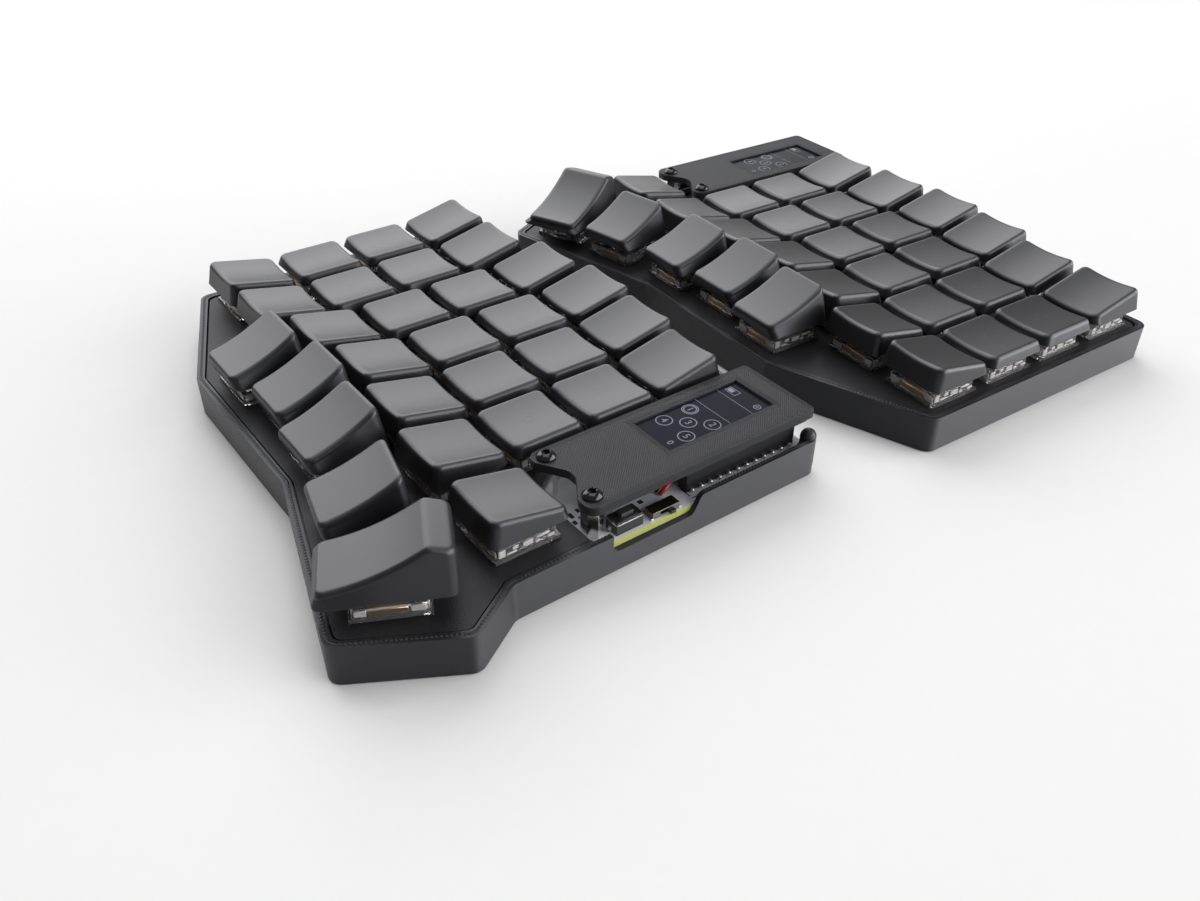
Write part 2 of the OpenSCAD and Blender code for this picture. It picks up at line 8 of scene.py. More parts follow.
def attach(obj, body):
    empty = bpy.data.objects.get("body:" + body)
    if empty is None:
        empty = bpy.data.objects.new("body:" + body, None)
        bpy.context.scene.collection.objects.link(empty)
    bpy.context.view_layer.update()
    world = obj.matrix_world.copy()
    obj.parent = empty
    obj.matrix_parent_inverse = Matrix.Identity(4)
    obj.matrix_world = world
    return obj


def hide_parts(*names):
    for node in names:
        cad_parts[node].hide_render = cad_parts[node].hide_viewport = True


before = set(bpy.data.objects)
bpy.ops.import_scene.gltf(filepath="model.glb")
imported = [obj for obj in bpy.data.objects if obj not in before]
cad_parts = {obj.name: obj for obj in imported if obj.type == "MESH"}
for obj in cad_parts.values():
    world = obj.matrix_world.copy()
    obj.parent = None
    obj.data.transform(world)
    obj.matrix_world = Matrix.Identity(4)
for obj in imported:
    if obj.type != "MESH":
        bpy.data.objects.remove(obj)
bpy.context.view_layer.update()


# Cases: each half stands in a tray printed from black plastic in one piece, with its
# rim, the notch at the switches and the round post at the inner far corner.
# The edges are slightly broken, and the walls show the fine layers of the print.
class Tap:
    """An output socket of a finish: sums of taps add Math nodes, add() any other node."""

    def __init__(self, tree, socket=None):
        self.tree = tree
        self.socket = socket

    def add(self, kind, settings, inputs, out=0):
        node = self.tree.nodes.new("ShaderNode" + kind)
        for name, value in settings.items():
            setattr(node, name, value)
        for name, value in inputs.items():
            if isinstance(value, Tap):
                self.tree.links.new(value.socket, node.inputs[name])
            else:
                node.inputs[name].default_value = value
        return Tap(self.tree, node.outputs[out])

    def maths(self, operation, *values):
        return self.add("Math", {"operation": operation}, dict(enumerate(values)))

    def __add__(self, other):
        return self.maths("ADD", self, other)

    def __radd__(self, other):
        return self.maths("ADD", other, self)

    def __sub__(self, other):
        return self.maths("SUBTRACT", self, other)

    def __rsub__(self, other):
        return self.maths("SUBTRACT", other, self)

    def __mul__(self, other):
        return self.maths("MULTIPLY", self, other)

    def __rmul__(self, other):
        return self.maths("MULTIPLY", other, self)

    def place(self):
        return self.add("TexCoord", {}, {}, "Object")

    def part(self, vector, axis):
        return self.add("SeparateXYZ", {}, {0: vector}, axis)

    def noise(self, size, detail=2.0):
        """Noise from 0 to 1, with lumps of about the given size in metres."""
        inputs = {"Vector": self.place(), "Scale": 1 / size, "Detail": detail}
        return self.add("TexNoise", {}, inputs, "Fac")

    def shade(self, mask, low, high):
        """A colour between two, by a mask."""
        return self.add("Mix", {"data_type": "RGBA"}, {0: mask, 6: low, 7: high}, 2)

    def bump(self, height, depth):
        return self.add("Bump", {}, {"Distance": depth, "Height": height}, "Normal")

    def upright(self):
        """1 on faces that stand upright, 0 on level ones."""
        normal = self.add("NewGeometry", {}, {}, "Normal")
        return 1 - self.maths("ABSOLUTE", self.part(normal, "Z"))

    def layers(self, step):
        """The layers of a print, one to each step of height."""
        return self.maths("SINE", self.part(self.place(), "Z") * (2 * math.pi / step))

    def about(self, value, swing, mask):
        """A value that swings a little about its middle, by a mask."""
        return value - swing / 2 + swing * mask


def finish(name, fixed, looks):
    """A material: fixed values sit on the shader's own sockets, looks() gives what varies."""
    made = bpy.data.materials.new(name)
    made.use_nodes = True
    shader = made.node_tree.nodes["Principled BSDF"]
    for socket, value in fixed.items():
        shader.inputs[socket].default_value = value
    for socket, tap in looks(Tap(made.node_tree)).items():
        made.node_tree.links.new(tap.socket, shader.inputs[socket])
    return made


cool_sheen = (0.90, 0.91, 1.0, 1)
layer_step = 0.0002
layer_relief = 0.4
wall_smooth = 0.9
cloud_size = 0.018
cloud_share = 0.6
tone_swing = 0.3
polish_swing = 0.12


def grey(level, blue=1.1):
    """A grey, a little blue unless told otherwise."""
    return (level, level, level * blue, 1)


def printed(name, level, rough, gloss, pebble, depth, lines=None):
    """Printed plastic: pebbled level faces, fine layer lines on the walls."""

    def looks(tap):
        cloud = tap.noise(cloud_size, 3.0)
        grain = tap.noise(pebble, 3.0)
        wall = tap.upright()
        height = grain * (1 - wall * wall_smooth) + tap.layers(layer_step) * wall * layer_relief
        if lines:
            height = height + lines(tap) * (1 - wall)
        tone = cloud * cloud_share + grain * (1 - cloud_share)
        dark, light = grey(level * (1 - tone_swing)), grey(level * (1 + tone_swing))
        return {
            "Base Color": tap.shade(tone, dark, light),
            "Roughness": tap.about(rough, polish_swing, grain),
            "Normal": tap.bump(height, depth),
        }

    return finish(name, {"Specular IOR Level": gloss, "Specular Tint": cool_sheen}, looks)


weld = 1e-6
flat_angle = math.radians(1)
sharp_angle = math.radians(30)
smooth_angle = math.radians(38)


def merged(node):
    """A copy of a CAD piece as one skin, with its flat faces whole."""
    skin = bmesh.new()
    skin.from_mesh(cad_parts[node].data)
    bmesh.ops.remove_doubles(skin, verts=skin.verts, dist=weld)
    bmesh.ops.dissolve_limit(skin, angle_limit=flat_angle, verts=skin.verts, edges=skin.edges)
    return skin


def sharp_edges(skin):
    return [e for e in skin.edges if e.is_manifold and e.calc_face_angle() > sharp_angle]


def rounded(skin, edges, radius, steps=2, clamp=False):
    """Rounds these edges of a skin over."""
    bmesh.ops.bevel(
        skin, geom=edges, offset=radius, offset_type="OFFSET", affect="EDGES",
        segments=steps, profile=0.5, material=-1, clamp_overlap=clamp,
    )


def softened(node, radius):
    """A copy of a CAD piece with its sharp edges rounded over."""
    skin = merged(node)
    rounded(skin, sharp_edges(skin), radius, clamp=True)
    return skin


def placed(name, data):
    """A new object at the origin that shows this mesh, curve, lamp or lens."""
    thing = bpy.data.objects.new(name, data)
    bpy.context.scene.collection.objects.link(thing)
    return thing


def show(skin, name, body, slot, look, *replaced):
    """The shape as a finished piece on its body, smooth between its sharp edges."""
    for face in skin.faces:
        face.smooth = True
    for edge in skin.edges:
        edge.smooth = edge.is_manifold and edge.calc_face_angle() < smooth_angle
    mesh = bpy.data.meshes.new(name)
    skin.to_mesh(mesh)
    skin.free()
    mesh.materials.append(look)
    piece = placed(name, mesh)
    flats = piece.modifiers.new("flat_faces", "WEIGHTED_NORMAL")
    flats.keep_sharp = True
    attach(piece, body)
    if replaced:
        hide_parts(*replaced)


sides = ("left", "right")
case_edge = 0.00018
case_look = printed(
    "black_printed_case", level=0.014, rough=0.36, gloss=0.5, pebble=0.0005, depth=0.00005,
)
for side in sides:
    case = softened(f"case_{side}", case_edge)
    show(case, f"printed_case_{side}", "keyboard", "case", case_look, f"case_{side}")


# Rim beads: the fine row of dots that the printer leaves along the middle of each rim,
# where the space between its outer and inner wall is filled.
MM = 0.001
rim_z = 9.2 * MM
rim_middle = 0.95 * MM
bead_step = 0.85 * MM
bead_r = 0.36 * MM
bead_rise = 0.35
wall_foot = 2 * MM
level_normal = 0.99
rim_slack = 1e-5


def gathered(shape, places):
    """Copies of a shape at many places, as one skin."""
    part = bpy.data.meshes.new("part")
    shape.to_mesh(part)
    shape.free()
    whole = bmesh.new()
    for place in places:
        old_verts, old_faces = len(whole.verts), len(whole.faces)
        whole.from_mesh(part)
        whole.verts.ensure_lookup_table()
        whole.faces.ensure_lookup_table()
        bmesh.ops.transform(whole, matrix=place, verts=whole.verts[old_verts:])
        if place.determinant() < 0:
            bmesh.ops.reverse_faces(whole, faces=whole.faces[old_faces:])
    bpy.data.meshes.remove(part)
    return whole


def bead_places(node):
    """Even steps along the outer edge of a rim's level top, moved in to its middle."""
    places = []
    skin = merged(node)
    for edge in skin.edges:
        levels = [f for f in edge.link_faces if f.normal.z > level_normal]
        tops = [f for f in levels if abs(f.verts[0].co.z - rim_z) < rim_slack]
        walls = [f for f in edge.link_faces if min(v.co.z for v in f.verts) < wall_foot]
        if not tops or not walls:
            continue
        start = edge.verts[0].co
        along = edge.verts[1].co - start
        count = max(1, round(along.length / bead_step))
        turn = Matrix.Rotation(math.atan2(along.y, along.x), 4, "Z")
        inward = walls[0].normal * -rim_middle
        for i in range(count):
            spot = start + along * (i + 0.5) / count + inward
            places.append(Matrix.Translation(spot) @ turn)
    skin.free()
    return places


bead = bmesh.new()
bmesh.ops.create_uvsphere(bead, u_segments=8, v_segments=4, radius=bead_r)
bmesh.ops.scale(bead, vec=(1, 1, bead_rise), verts=bead.verts)
beads = gathered(bead, bead_places("case_left") + bead_places("case_right"))
show(beads, "rim_beads", "keyboard", "case", case_look)


# Rubber feet: soft black discs in recesses under the corners of each tray, which they
# hold just clear of the table.
def dress(node, look):
    """A CAD piece whose shape is right keeps it and gets this finish."""
    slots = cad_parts[node].data.materials
    slots.clear()
    slots.append(look)


stain_size = 0.006
grain_swing = 0.1


def moulded(name, low, high, rough, grain, depth, specular=0.5):
    """Moulded plastic or rubber with a fine even grain."""

    def looks(tap):
        speck = tap.noise(grain)
        return {
            "Base Color": tap.shade(tap.noise(stain_size), low, high),
            "Roughness": tap.about(rough, grain_swing, speck),
            "Normal": tap.bump(speck, depth),
        }

    return finish(name, {"Specular IOR Level": specular}, looks)


rubber_look = moulded(
    "soft_rubber", grey(0.012), grey(0.02), rough=0.8, grain=0.0003, depth=0.00003, specular=0.3,
)
dress("rubber_feet", rubber_look)


# Circuit boards: white fibreglass boards with a yellow-green cut edge, screwed into the
# trays. Black printed marks and small holes show on them beside the switches.
def board_looks(tap):
    edge = tap.maths("GREATER_THAN", tap.upright(), 0.5)
    weave = tap.noise(0.0005)
    mask = tap.shade(tap.noise(0.004, 3.0), (0.62, 0.63, 0.72, 1), (0.72, 0.73, 0.80, 1))
    glass = tap.shade(weave, (0.26, 0.28, 0.07, 1), (0.42, 0.44, 0.15, 1))
    return {
        "Base Color": tap.shade(edge, mask, glass),
        "Roughness": 0.35 + 0.15 * weave,
        "Normal": tap.bump(weave, 0.00001),
    }


board_look = finish("white_solder_mask", {}, board_looks)
for side in sides:
    dress(f"circuit_board_{side}", board_look)

# From here on, a half is drawn in its own millimetres, and halves puts it in the frame.
board_z = 6.7
middle = Vector((66.354, 19.6989, 0))
right_at = Vector((132.3, 111.4, 0))
right_turn = math.radians(-2.7)
mirror = Matrix.Diagonal((-1, 1, 1, 1))
halves = {
    "left": Matrix.Scale(MM, 4) @ Matrix.Translation(-middle),
    "right": Matrix.Scale(MM, 4)
    @ Matrix.Translation(right_at - middle)
    @ Matrix.Rotation(right_turn, 4, "Z")
    @ mirror,
}


def on_both(shape):
    """A shape drawn in a half's own millimetres, put in both halves."""
    return gathered(shape, halves.values())


def edges_at(verts):
    """The edges that meet at these corners, each of them once."""
    return list(dict.fromkeys(e for v in verts for e in v.link_edges))


def block(skin, size, at, radius=0.0, steps=2):
    """A block standing on the given point, with its edges rounded over."""
    made = bmesh.ops.create_cube(skin, size=1)["verts"]
    bmesh.ops.scale(skin, vec=size, verts=made)
    bmesh.ops.translate(skin, vec=Vector(at) + Vector((0, 0, size[2] / 2)), verts=made)
    if radius:
        rounded(skin, edges_at(made), radius, steps)


marks = bmesh.new()
mark_t = 0.03
for x, y, wide, long in (
    (117.5, -40.1, 1.7, 0.9), (116.9, -38.0, 1.2, 0.8), (119.7, -40.7, 1.2, 0.9),
    (119.5, -38.8, 1.7, 0.9), (122.1, -26.1, 1.1, 1.1), (121.8, -28.4, 0.8, 1.4),
    (122.0, -31.5, 0.5, 2.2), (127.3, -1.2, 0.25, 30.6), (125.0, -16.6, 3.2, 0.25),
):
    block(marks, (wide, long, mark_t), (x, y, board_z))
ink_look = moulded(
    "black_board_ink", grey(0.012), grey(0.02), rough=0.5, grain=0.0004, depth=0.00001,
)
show(on_both(marks), "board_marks", "keyboard", "board", ink_look)


# Switch plates: printed black plates that drop onto a ledge inside the rim, with a
# square hole for each switch. Their top has the pebble of a textured print bed.
plate_edge = 0.0002
plate_look = printed(
    "pebbled_plate", level=0.014, rough=0.48, gloss=0.42, pebble=0.0004, depth=0.00006,
)
for side in sides:
    plate = softened(f"switch_plate_{side}", plate_edge)
    show(plate, f"printed_plate_{side}", "keyboard", "plate", plate_look, f"switch_plate_{side}")


# Switch housings: clear moulded boxes clipped into the plate, with a flange that rests
# on it and a ribbed hood round the opening for the stem.
plate_z = 8.9
pitch = 19.05
columns = {"outer": 0, "pinky": 0, "ring": 5, "middle": 7.5, "index": 5.5, "inner": 3}
rows = ("number", "top", "home", "bottom")
keys = {
    f"{finger}_{row}_key": (c * pitch, shift - r * pitch, 0, row)
    for c, (finger, shift) in enumerate(columns.items())
    for r, row in enumerate(rows)
}
for number, finger in enumerate(("ring", "middle", "index"), 1):
    keys[f"thumb_key_{number}"] = ((number + 1) * pitch, columns[finger] - 4 * pitch, 0, "thumb")
keys["thumb_key_4"] = (98.075, -75.750, -13, "thumb")
keys["thumb_key_5"] = (118.000, -80.350, -26, "long thumb")
keys["side_key"] = (116.4, -54.15, 0, "bottom")


def key_place(name):
    """Where a key stands in its half."""
    x, y, turn, _ = keys[name]
    return Matrix.Translation((x, y, 0)) @ Matrix.Rotation(math.radians(turn), 4, "Z")


spin_weld = 1e-5


def lathed(points, steps=36):
    """A shape spun from half of its outline; four steps make it square."""
    skin = bmesh.new()
    verts = [skin.verts.new((x, 0, z)) for x, z in points]
    edges = [skin.edges.new(pair) for pair in zip(verts, verts[1:])]
    bmesh.ops.spin(
        skin, geom=verts + edges, cent=(0, 0, 0), axis=(0, 0, 1), angle=2 * math.pi,
        steps=steps, use_merge=True,
    )
    bmesh.ops.remove_doubles(skin, verts=skin.verts, dist=spin_weld)
    bmesh.ops.recalc_face_normals(skin, faces=skin.faces)
    return skin


housing_outline = (
    (0, 6.8), (6.9, 6.8), (6.9, plate_z), (7.4, plate_z), (7.4, 9.7), (6.6, 9.8),
    (6.6, 11.5), (5.6, 11.5), (5.6, 7.2), (0, 7.2),
)
housing_edge = 0.18
housing = lathed([(half * math.sqrt(2), z) for half, z in housing_outline], steps=4)
eighth = Matrix.Rotation(math.radians(45), 3, "Z")
bmesh.ops.rotate(housing, matrix=eighth, verts=housing.verts)
rounded(housing, sharp_edges(housing), housing_edge)

rib_z = plate_z + 0.85
rib_out = 6.65
rib_t = 0.4
rib_edge = 0.12
near_ribs = ((-5.3, 2.2, 0, 1.4), (4.9, 2.8, 0, 1.4), (-0.4, 8, 1.3, 0.35))
side_ribs = (
    (-5.6, 1.6, 0, 1.7), (-3.4, 2.2, 0, 0.5), (-2.6, 1.4, 0.8, 0.8), (0.2, 2.4, 0.3, 1.2),
    (2.4, 1.2, 0, 0.7), (3.6, 3.0, 1.0, 0.6), (5.4, 1.8, 0, 0.7),
)
ribs = bmesh.new()
for out in (-rib_out, rib_out):
    for along, width, low, height in near_ribs:
        block(ribs, (width, rib_t, height), (along, out, rib_z + low), rib_edge, 1)
    for along, width, low, height in side_ribs:
        block(ribs, (rib_t, width, height), (out, along, rib_z + low), rib_edge, 1)


def clear(name, through, rough):
    """Clear moulded plastic with a slight flow in it; less through, more frosted."""

    def looks(tap):
        flow = tap.noise(0.0022, 1.0)
        return {
            "Base Color": tap.shade(flow, (0.82, 0.80, 0.80, 1), (1.0, 0.98, 0.97, 1)),
            "Roughness": rough + 0.1 * tap.noise(0.0012),
            "Normal": tap.bump(flow, 0.00004),
        }

    return finish(name, {"Transmission Weight": through, "IOR": 1.55}, looks)


def switch_place(name):
    """A switch sits under its key; the last thumb key's is turned a quarter round."""
    quarter = math.radians(90) if keys[name][3] == "long thumb" else 0
    return key_place(name) @ Matrix.Rotation(quarter, 4, "Z")


switch_places = [half @ switch_place(key) for half in halves.values() for key in keys]
clear_look = clear("clear_switch_plastic", through=0.94, rough=0.04)
housings = gathered(housing, switch_places)
show(housings, "clear_switch_housings", "keyboard", "housing", clear_look, "switch_housings")
# The ribs get a milky white copy of the clear plastic that lets less light through. This whiteness
# is a painted glint: it stands in for the bright glints that the clear housings throw.
painted_glint_look = clear("painted_glint_switch_plastic", through=0.55, rough=0.08)
show(gathered(ribs, switch_places), "painted_glint_switch_ribs", "keyboard", "housing", painted_glint_look)


# Contacts and springs: bright copper leaves on the near side of each switch, and the
# steel springs under the stems. Both show through the clear housings.
def metal(name, low, high, rough, streak):
    """Bare metal with a fine uneven polish."""

    def looks(tap):
        cloud = tap.noise(streak, 3.0)
        return {
            "Base Color": tap.shade(cloud, low, high),
            "Roughness": tap.about(rough, polish_swing, cloud),
            "Normal": tap.bump(tap.noise(streak / 6), 0.000004),
        }

    return finish(name, {"Metallic": 1.0}, looks)


leaf_w = 7.0
leaf_x = -0.4
leaf = bmesh.new()
block(leaf, (leaf_w, 0.3, 1.7), (leaf_x, -5.6, 9.0), 0.08, 1)
block(leaf, (leaf_w, 1.2, 0.2), (leaf_x, -6.1, rib_z), 0.05, 1)
block(leaf, (leaf_w, 0.25, 1.2), (leaf_x, -6.62, rib_z), 0.08, 1)
leaves = gathered(leaf, switch_places)
copper_look = metal(
    "copper_leaf", (0.78, 0.52, 0.30, 1), (0.92, 0.70, 0.48, 1), rough=0.36, streak=0.002,
)
show(leaves, "contact_leaves", "keyboard", "contact", copper_look, "switch_contacts")
spring_look = metal("spring_steel", grey(0.5, 1.0), grey(0.66, 1.0), rough=0.3, streak=0.001)
dress("switch_springs", spring_look)


# Key caps: sculpted black caps with a scooped top, rounded shoulders and drafted sides.
# Number, bottom and thumb caps are taller and tilted, and the last thumb cap has a crest
# with a gentle slope behind it. Each cap is pressed onto its stem.
cap_low = 14.0
cap_ceiling = 14.75
cap_round = 1.8
cap_wall = 1.1
cap_foot = 8.9
shoulder = 0.9
skirt_rise = 0.3
brow_drop = 1.3
top_border = 0.4
ceiling_slope = 0.85
row_scoop, thumb_scoop, long_scoop = 0.7, 0.9, 1.5
long_step = -0.4
scoop_shift = 1.85
crest_y = 7.85
crest_drop = 0.4
crest_blend = 0.7
crest_cut_y = 7.45
crest_cut_step = 0.2
cut_slack = 1e-4
back_slope = math.tan(math.radians(17))
cap_kinds = {
    "number": {"tilt": 12, "height": 9.1, "half": (7.65, 7.65), "lean": -0.6, "long": 0},
    "top": {"tilt": 0, "height": 7.7, "half": (7.65, 7.65), "lean": 0, "long": 0},
    "home": {"tilt": 0, "height": 7.7, "half": (7.65, 7.65), "lean": 0, "long": 0},
    "bottom": {"tilt": -12, "height": 9.1, "half": (7.65, 7.65), "lean": 0.6, "long": 0},
    "thumb": {"tilt": 22, "height": 11.1, "half": (6.9, 7.85), "lean": -1, "long": 0},
    "long thumb": {"tilt": 22, "height": 12.4, "half": (6.9, 11.9), "lean": -0.1, "long": 3.81},
}


def bowl(share):
    """The depth of a scoop, from 1 in its middle to 0 at its edges."""
    return 1 - min(1, abs(share)) ** 2


def crown(kind, x, y):
    """How far the top of a cap lies over its level blank."""
    half_x, half_y = cap_kinds[kind]["half"]
    slope = math.tan(math.radians(cap_kinds[kind]["tilt"]))
    if kind == "thumb":
        return slope * y - thumb_scoop * bowl(y / half_y)
    if kind == "long thumb":
        front = slope * y - long_scoop * bowl((y + scoop_shift) / (half_y - scoop_shift))
        back = slope * crest_y - crest_drop - back_slope * (y - crest_y)
        near = max(0, crest_blend - abs(front - back)) / crest_blend
        return min(front, back) - near * near * crest_blend / 4
    return slope * y - row_scoop * bowl(x / half_x)


def mapped(skin, to_plan):
    """Gives the corners of a skin their places in plan, in millimetres."""
    plan = skin.loops.layers.uv.new("plan")
    for face in skin.faces:
        for loop in face.loops:
            loop[plan].uv = (to_plan @ loop.vert.co).xy


def by_height(face):
    return face.calc_center_median().z


def cap_shape(kind):
    """One cap in its key's own place: a drafted block, rounded, scooped and hollowed."""
    cap = cap_kinds[kind]
    half_x, half_y = cap["half"]
    flat = plate_z + cap["height"]
    skin = bmesh.new()
    bmesh.ops.create_cube(skin, size=2)
    for v in skin.verts:
        if v.co.z > 0:
            edge = shoulder / 2
            v.co = (v.co.x * (half_x + edge), v.co.y * (half_y + edge) + cap["lean"], flat)
        else:
            step = long_step if cap["long"] else 0
            v.co = (v.co.x * cap_foot, v.co.y * (cap_foot + cap["long"]) + step, cap_low)
    upright = [e for e in skin.edges if abs(e.verts[0].co.z - e.verts[1].co.z) > 1]
    rounded(skin, upright, cap_round, steps=6)
    rounded(skin, list(max(skin.faces, key=by_height).edges), shoulder, steps=5)
    top = max(skin.faces, key=by_height)
    bmesh.ops.inset_individual(skin, faces=[top], thickness=top_border)
    bottom = min(skin.faces, key=by_height)
    skirt, brow = cap_low + skirt_rise, flat - brow_drop
    cuts = [((0, 0, brow), (0, 0, 1)), ((0, 0, skirt), (0, 0, 1))]
    if "thumb" in kind:
        steps = 24 if cap["long"] else 14
        reach = half_y + shoulder
        ys = [cap["lean"] + reach * (2 * i / steps - 1) for i in range(1, steps)]
        cuts += [((0, y, 0), (0, 1, 0)) for y in ys]
    else:
        cuts += [((x * half_x / 8, 0, 0), (1, 0, 0)) for x in range(-7, 8)]
    if cap["long"]:
        ys = [cap["lean"] + crest_cut_y + crest_cut_step * i for i in range(-3, 4)]
        cuts += [((0, y, 0), (0, 1, 0)) for y in ys]
    for at, across in cuts:
        shell = [f for f in skin.faces if f is not bottom]
        edges = list(dict.fromkeys(e for f in shell for e in f.edges))
        verts = list(dict.fromkeys(v for f in shell for v in f.verts))
        bmesh.ops.bisect_plane(
            skin, geom=verts + edges + shell, plane_co=at, plane_no=across, dist=cut_slack,
        )
    for v in skin.verts:
        share = min(1, max(0, (v.co.z - skirt) / (brow - skirt)))
        v.co.z += share * crown(kind, v.co.x, v.co.y - cap["lean"])
    bmesh.ops.inset_individual(skin, faces=[bottom], thickness=cap_wall)
    bmesh.ops.inset_individual(skin, faces=[bottom], thickness=ceiling_slope)
    for v in bottom.verts:
        v.co.z = cap_ceiling
    mapped(skin, Matrix.Identity(4))
    return skin


spot_r = 1.15
spot_edge = 4.0
spot_relief = 2.0
coat_rise = 2.0
coat_from = 0.8
coat_most = 0.75


def cap_finish(name, ringed):
    """Satin black plastic, with a faint round mark in the middle of the level caps."""

    def looks(tap):
        grain = tap.noise(0.00022)
        coat = tap.maths("MAXIMUM", (1 - tap.upright()) * coat_rise - coat_from, 0.0)
        height = grain * 0.5 + tap.layers(0.00025) * tap.upright() * 0.1
        if ringed:
            spot = tap.add("UVMap", {"uv_map": "plan"}, {})
            reach = tap.add("VectorMath", {"operation": "LENGTH"}, {0: spot}, "Value")
            apart = tap.maths("ABSOLUTE", reach - spot_r)
            height = height + tap.maths("MAXIMUM", 1 - apart * spot_edge, 0.0) * spot_relief
        return {
            "Base Color": tap.shade(tap.noise(0.012), grey(0.008), grey(0.012)),
            "Roughness": 0.36 + 0.08 * grain,
            "Coat Weight": tap.maths("MINIMUM", coat, coat_most),
            "Normal": tap.bump(height, 0.00002),
        }

    fixed = {"Specular IOR Level": 0.5, "Specular Tint": cool_sheen, "Coat Roughness": 0.38}
    return finish(name, fixed, looks)


def joined(skins):
    """Several skins as one."""
    whole = bmesh.new()
    for skin in skins:
        part = bpy.data.meshes.new("part")
        skin.to_mesh(part)
        skin.free()
        whole.from_mesh(part)
        bpy.data.meshes.remove(part)
    return whole


plain_cap = cap_finish("satin_cap", ringed=False)
level_cap = cap_finish("satin_level_cap", ringed=True)
groups = {}
for name, (_, _, _, kind) in keys.items():
    look = level_cap if kind in ("top", "home") else plain_cap
    cap = gathered(cap_shape(kind), [halves["left"] @ key_place(name)])
    show(cap, f"cap_left_{name}", f"left_{name}", "cap", look, f"left_{name}")
    group = "right_thumb_keys" if name.startswith(("thumb", "side")) else f"right_{kind}_row_keys"
    groups.setdefault(group, []).append(name)
for group, names in groups.items():
    look = level_cap if group in ("right_top_row_keys", "right_home_row_keys") else plain_cap
    caps = joined(gathered(cap_shape(keys[n][3]), [halves["right"] @ key_place(n)]) for n in names)
    show(caps, f"caps_{group}", group, "cap", look, group)


# Stems: pale sliders that carry the caps and run in the switch housings. Each of them
# rides with its key.
stem_size = (10.2, 5.4, 4.2)
stem_low = 10.5
stem_edge = 0.3


def stem_shape():
    """One stem in its key's own place."""
    skin = bmesh.new()
    block(skin, stem_size, (0, 0, stem_low), stem_edge)
    return skin


stem_look = moulded(
    "pale_stem", (0.60, 0.57, 0.50, 1), (0.68, 0.65, 0.58, 1),
    rough=0.4, grain=0.0006, depth=0.00001,
)
for name in keys:
    stem = gathered(stem_shape(), [halves["left"] @ key_place(name)])
    show(stem, f"stem_left_{name}", f"left_{name}", "cap", stem_look)
for group, names in groups.items():
    stems = gathered(stem_shape(), [halves["right"] @ key_place(n) for n in names])
    show(stems, f"stems_{group}", group, "cap", stem_look)


# Batteries: flat foil cells on the boards between the header strips, with a red and a
# black lead soldered to the board at their near end.
cell_size = (10, 24, 3.8)
cell_x, cell_y = 116.375, -5.6
cell_edge = 0.6
cell_end = -17.6
lead_r = 0.5 * MM
cell = bmesh.new()
block(cell, cell_size, (cell_x, cell_y, board_z), cell_edge)
foil_look = metal("battery_foil", grey(0.42, 1.0), grey(0.55, 1.0), rough=0.4, streak=0.003)
show(on_both(cell), "battery_cells", "keyboard", "battery", foil_look, "batteries")


def lead(name, start_x, look):
    """A round lead from the cell's near end down to the board, in both halves."""
    line = bpy.data.curves.new(name, "CURVE")
    line.dimensions = "3D"
    line.bevel_depth = lead_r
    line.bevel_resolution = 3
    route = (
        (0, 0.1, 1.6), (0.3, -0.6, 1.7), (2.0, -0.9, 1.8),
        (2.6, -2.2, 1.7), (2.5, -3.3, 1.1), (2.2, -3.6, 0.1),
    )
    for half in halves.values():
        run = line.splines.new("NURBS")
        run.points.add(len(route) - 1)
        run.use_endpoint_u = True
        run.order_u = 3
        for point, (x, y, z) in zip(run.points, route):
            at = half @ Vector((start_x + x, cell_end + y, board_z + z))
            point.co = (*at, 1)
    line.materials.append(look)
    piece = placed(name, line)
    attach(piece, "keyboard")


red_look = moulded(
    "red_lead", (0.36, 0.02, 0.015, 1), (0.46, 0.03, 0.02, 1),
    rough=0.35, grain=0.0005, depth=0.00001,
)
lead("red_leads", 120.375, red_look)
lead("black_leads", 118.875, ink_look)


# Header strips and controller boards: black strips in two rows, with bright soldered
# legs along their foot, carry the dark controller board and its steel charging socket.
header_look = moulded(
    "black_header", grey(0.010), grey(0.018), rough=0.42, grain=0.0004, depth=0.00001,
)
dress("header_strips", header_look)
pins = 12
pin_step = 2.54
strip_y = -1.2
strips = ((123.995, 1), (108.755, -1))
leg_size = (1.3, 0.7, 0.5)
leg_out = 1.2
leg_edge = 0.12
solder_r = 0.62
solder_rise = 0.9
solder_out = 1.5
solder_z = board_z + 0.1
legs = bmesh.new()
for pin in range(pins):
    y = strip_y + (pin - (pins - 1) / 2) * pin_step
    for x, out in strips:
        block(legs, leg_size, (x + out * leg_out, y, board_z), leg_edge)
        made = bmesh.ops.create_uvsphere(legs, u_segments=10, v_segments=6, radius=solder_r)
        bmesh.ops.scale(legs, vec=(1, 1, solder_rise), verts=made["verts"])
        at = (x + out * solder_out, y, solder_z)
        bmesh.ops.translate(legs, vec=at, verts=made["verts"])
solder_look = metal("bright_solder", grey(0.72, 1.0), grey(0.86, 1.0), rough=0.3, streak=0.001)
show(on_both(legs), "header_legs", "keyboard", "header", solder_look)
controller_look = moulded(
    "dark_controller", (0.01, 0.016, 0.02, 1), (0.02, 0.026, 0.03, 1),
    rough=0.4, grain=0.0008, depth=0.00001,
)
dress("controller_boards", controller_look)
socket_look = metal("socket_steel", grey(0.55, 1.0), grey(0.68, 1.0), rough=0.3, streak=0.001)
dress("charging_sockets", socket_look)


